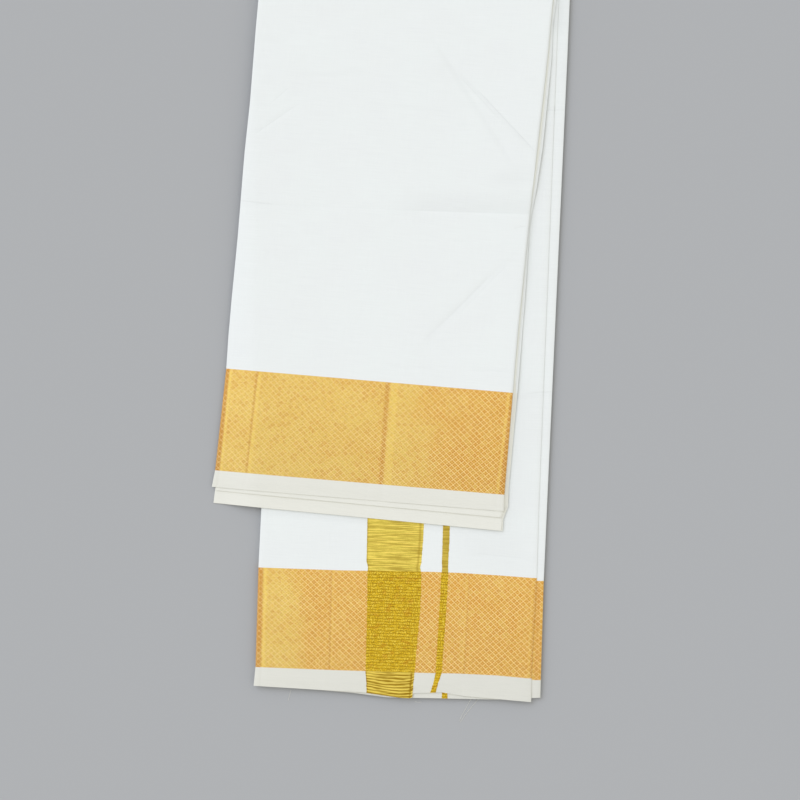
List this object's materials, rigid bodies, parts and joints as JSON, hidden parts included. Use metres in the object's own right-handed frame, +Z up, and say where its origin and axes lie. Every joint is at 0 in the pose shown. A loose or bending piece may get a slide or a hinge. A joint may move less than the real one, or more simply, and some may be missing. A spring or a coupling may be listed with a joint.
{
  "type": "folded dhoti cloth",
  "caption": "Folded length of white cotton with woven gold lattice borders and gold end stripes, folded over once and lying flat.",
  "frame": {"origin": "on the table, under the middle of the footprint", "axes": "+Z up, +X along the gold borders to the right, +Y from the loose ends to the fold"},
  "size_m": [0.371, 0.7606, 0.0138],
  "materials": {
    "white_cotton": "fine matt plain weave, cool white",
    "selvedge_cotton": "closer matt weave, slightly creamier",
    "gold_lattice": "satin gold thread woven with a pale diamond lattice",
    "gold_stripe": "satin deep gold thread in brocade rows"
  },
  "bodies": {
    "root": {"hidden_layers": "white_cotton", "front_selvedge": "selvedge_cotton", "front_border": "gold_lattice", "outer_ground": "white_cotton", "under_border": "gold_lattice", "under_selvedge": "selvedge_cotton", "second_ground": "white_cotton", "second_border": "gold_lattice", "second_selvedge_left": "selvedge_cotton", "second_stripe": "gold_stripe", "second_selvedge_right": "selvedge_cotton", "back_ground_left": "white_cotton", "back_ground_middle": "white_cotton", "back_ground_right": "white_cotton", "back_border_left": "gold_lattice", "back_border_middle": "gold_lattice", "back_border_right": "gold_lattice", "back_selvedge_left": "selvedge_cotton", "back_selvedge_middle": "selvedge_cotton", "back_selvedge_right": "selvedge_cotton", "wide_stripe": "gold_stripe", "narrow_stripe": "gold_stripe"}
  },
  "joints": []
}
